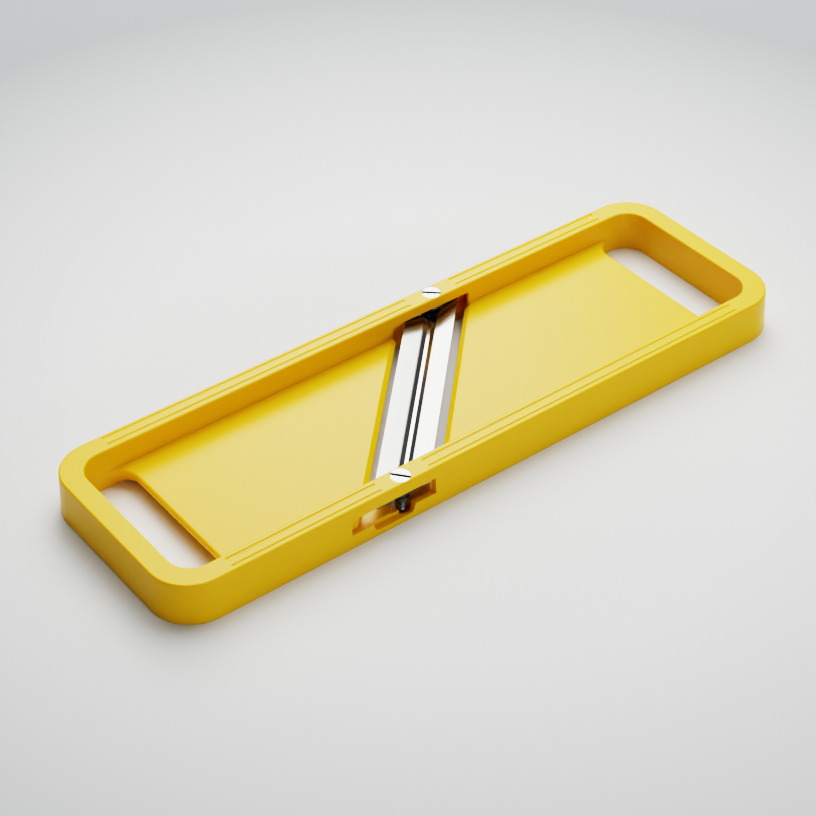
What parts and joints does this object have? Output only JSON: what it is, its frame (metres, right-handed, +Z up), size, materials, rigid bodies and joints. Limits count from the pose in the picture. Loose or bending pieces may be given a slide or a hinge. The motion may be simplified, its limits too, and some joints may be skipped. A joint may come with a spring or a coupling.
{
  "type": "mandoline slicer",
  "caption": "Shallow moulded tray with a diagonal slit, twin outward-facing blades on a folded carrier and slotted screws that set the slice thickness.",
  "frame": {"origin": "middle of the tray's footprint, on the surface that it stands on", "axes": "+X along the tray, +Y across it towards the far rail, +Z up out of the beds"},
  "size_m": [0.322, 0.102, 0.0195],
  "materials": {
    "tray_plastic": "semi-gloss moulded yellow thermoplastic with fine flow marks",
    "carrier_steel": "folded stainless sheet, mill finish",
    "blade_steel": "ground and polished hardened stainless strip",
    "screw_steel": "plated steel, turned head",
    "bush_steel": "turned steel, dulled",
    "washer_steel": "plated steel",
    "clip_steel": "blackened spring steel",
    "rivet_steel": "stainless, formed heads"
  },
  "bodies": {
    "tray": {"frame": "tray_plastic", "near_thrust_washer": "washer_steel", "far_thrust_washer": "washer_steel"},
    "blade_unit": {"blade_carrier": "carrier_steel", "left_blade": "blade_steel", "right_blade": "blade_steel", "near_threaded_bush": "bush_steel", "far_threaded_bush": "bush_steel", "near_left_rivet": "rivet_steel", "near_right_rivet": "rivet_steel", "far_left_rivet": "rivet_steel", "far_right_rivet": "rivet_steel"},
    "near_screw": {"near_adjusting_screw": "screw_steel", "near_retaining_clip": "clip_steel"},
    "far_screw": {"far_adjusting_screw": "screw_steel", "far_retaining_clip": "clip_steel"}
  },
  "joints": [
    {"name": "near_screw_turn", "type": "hinge", "parent": "tray", "child": "near_screw", "pos_m": [-0.0506, -0.04517, 0.0145], "axis": [0, 0, 1], "range_deg": [0, 1800]},
    {"name": "far_screw_turn", "type": "hinge", "parent": "tray", "child": "far_screw", "pos_m": [0.0355, 0.04517, 0.0145], "axis": [0, 0, 1], "range_deg": [0, 1800]},
    {"name": "blade_height", "type": "slide", "parent": "tray", "child": "blade_unit", "axis": [0, 0, 1], "range_m": [-0.004, 0]}
  ],
  "couplings": [
    {"joint": "near_screw_turn", "follows": "blade_height", "rad_per_m": -7854},
    {"joint": "far_screw_turn", "follows": "blade_height", "rad_per_m": -7854}
  ]
}
